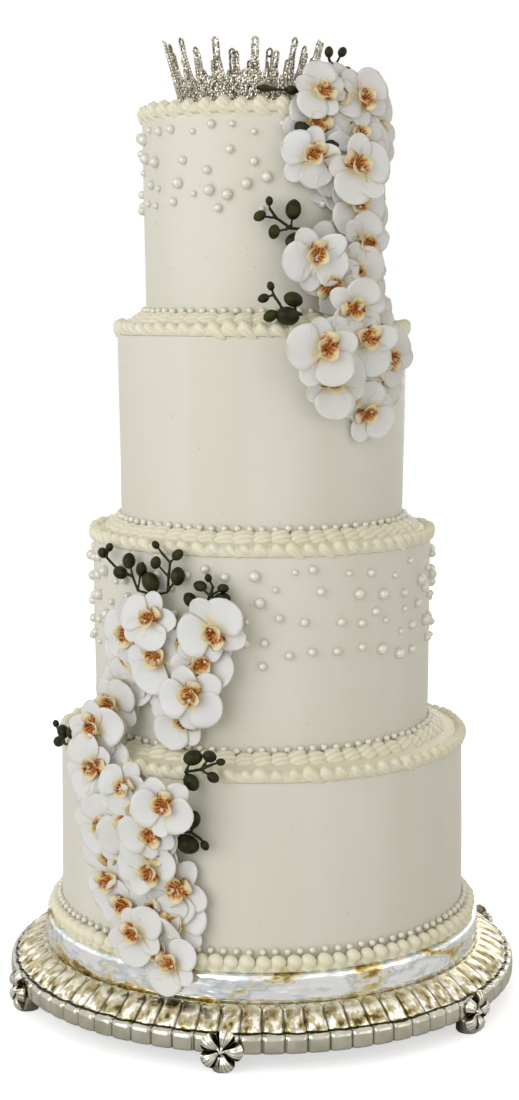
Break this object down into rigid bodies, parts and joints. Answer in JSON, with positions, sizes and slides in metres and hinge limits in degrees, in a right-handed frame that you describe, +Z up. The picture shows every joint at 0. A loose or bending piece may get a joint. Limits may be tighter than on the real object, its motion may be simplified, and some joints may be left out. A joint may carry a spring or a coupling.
{
  "type": "tiered wedding cake",
  "caption": "Tall round wedding cake with piped borders and pearls, cascading orchids with bud sprigs, a tiara on top, on a footed silver plateau.",
  "frame": {"origin": "centre of the cake's round plan, on the surface that the plateau's feet stand on", "axes": "+Z up along the tiers' axis, -Y towards the front that the orchid cascades face, +X to the right seen from the front"},
  "size_m": [0.4572, 0.4712, 0.8429],
  "materials": {
    "buttercream": "smoothed ivory-white buttercream, soft sheen with fine knife marks",
    "piping": "piped ivory buttercream shells, slightly yellower than the sides",
    "silver": "polished silver plate, gadrooned edge and hammered drum, dark in the grooves",
    "rhinestones": "rhinestone chain in silver-coloured claws, sparkling",
    "orchid_white": "thin soft white petals with a cream edge, yellow and orange-red lip",
    "bud_green": "very dark olive green, dull waxy skin"
  },
  "bodies": {
    "root": {"tier_1": "buttercream", "tier_2": "buttercream", "tier_3": "buttercream", "tier_4": "buttercream", "piping_top_border": "piping", "piping_ledge_2": "piping", "piping_ledge_3": "piping", "piping_ledge_4": "piping", "piping_base_row": "piping", "plateau_base": "silver", "plateau_drum": "silver", "plateau_foot_1": "silver", "plateau_foot_2": "silver", "plateau_foot_3": "silver", "plateau_foot_4": "silver", "plateau_foot_5": "silver", "plateau_foot_6": "silver", "tiara": "rhinestones", "bud_sprig_01": "bud_green", "bud_sprig_02": "bud_green", "bud_sprig_03": "bud_green", "bud_sprig_04": "bud_green", "bud_sprig_05": "bud_green", "bud_sprig_06": "bud_green", "bud_sprig_07": "bud_green", "bud_sprig_08": "bud_green", "bud_sprig_09": "bud_green", "orchid_01": "orchid_white", "orchid_02": "orchid_white", "orchid_03": "orchid_white", "orchid_04": "orchid_white", "orchid_05": "orchid_white", "orchid_06": "orchid_white", "orchid_07": "orchid_white", "orchid_08": "orchid_white", "orchid_09": "orchid_white", "orchid_10": "orchid_white", "orchid_11": "orchid_white", "orchid_12": "orchid_white", "orchid_13": "orchid_white", "orchid_14": "orchid_white", "orchid_15": "orchid_white", "orchid_16": "orchid_white", "orchid_17": "orchid_white", "orchid_18": "orchid_white", "orchid_19": "orchid_white", "orchid_20": "orchid_white", "orchid_21": "orchid_white", "orchid_22": "orchid_white", "orchid_23": "orchid_white", "orchid_24": "orchid_white", "orchid_25": "orchid_white", "orchid_26": "orchid_white", "orchid_27": "orchid_white", "orchid_28": "orchid_white", "orchid_29": "orchid_white", "orchid_30": "orchid_white", "orchid_31": "orchid_white", "orchid_32": "orchid_white", "orchid_33": "orchid_white"}
  },
  "joints": []
}
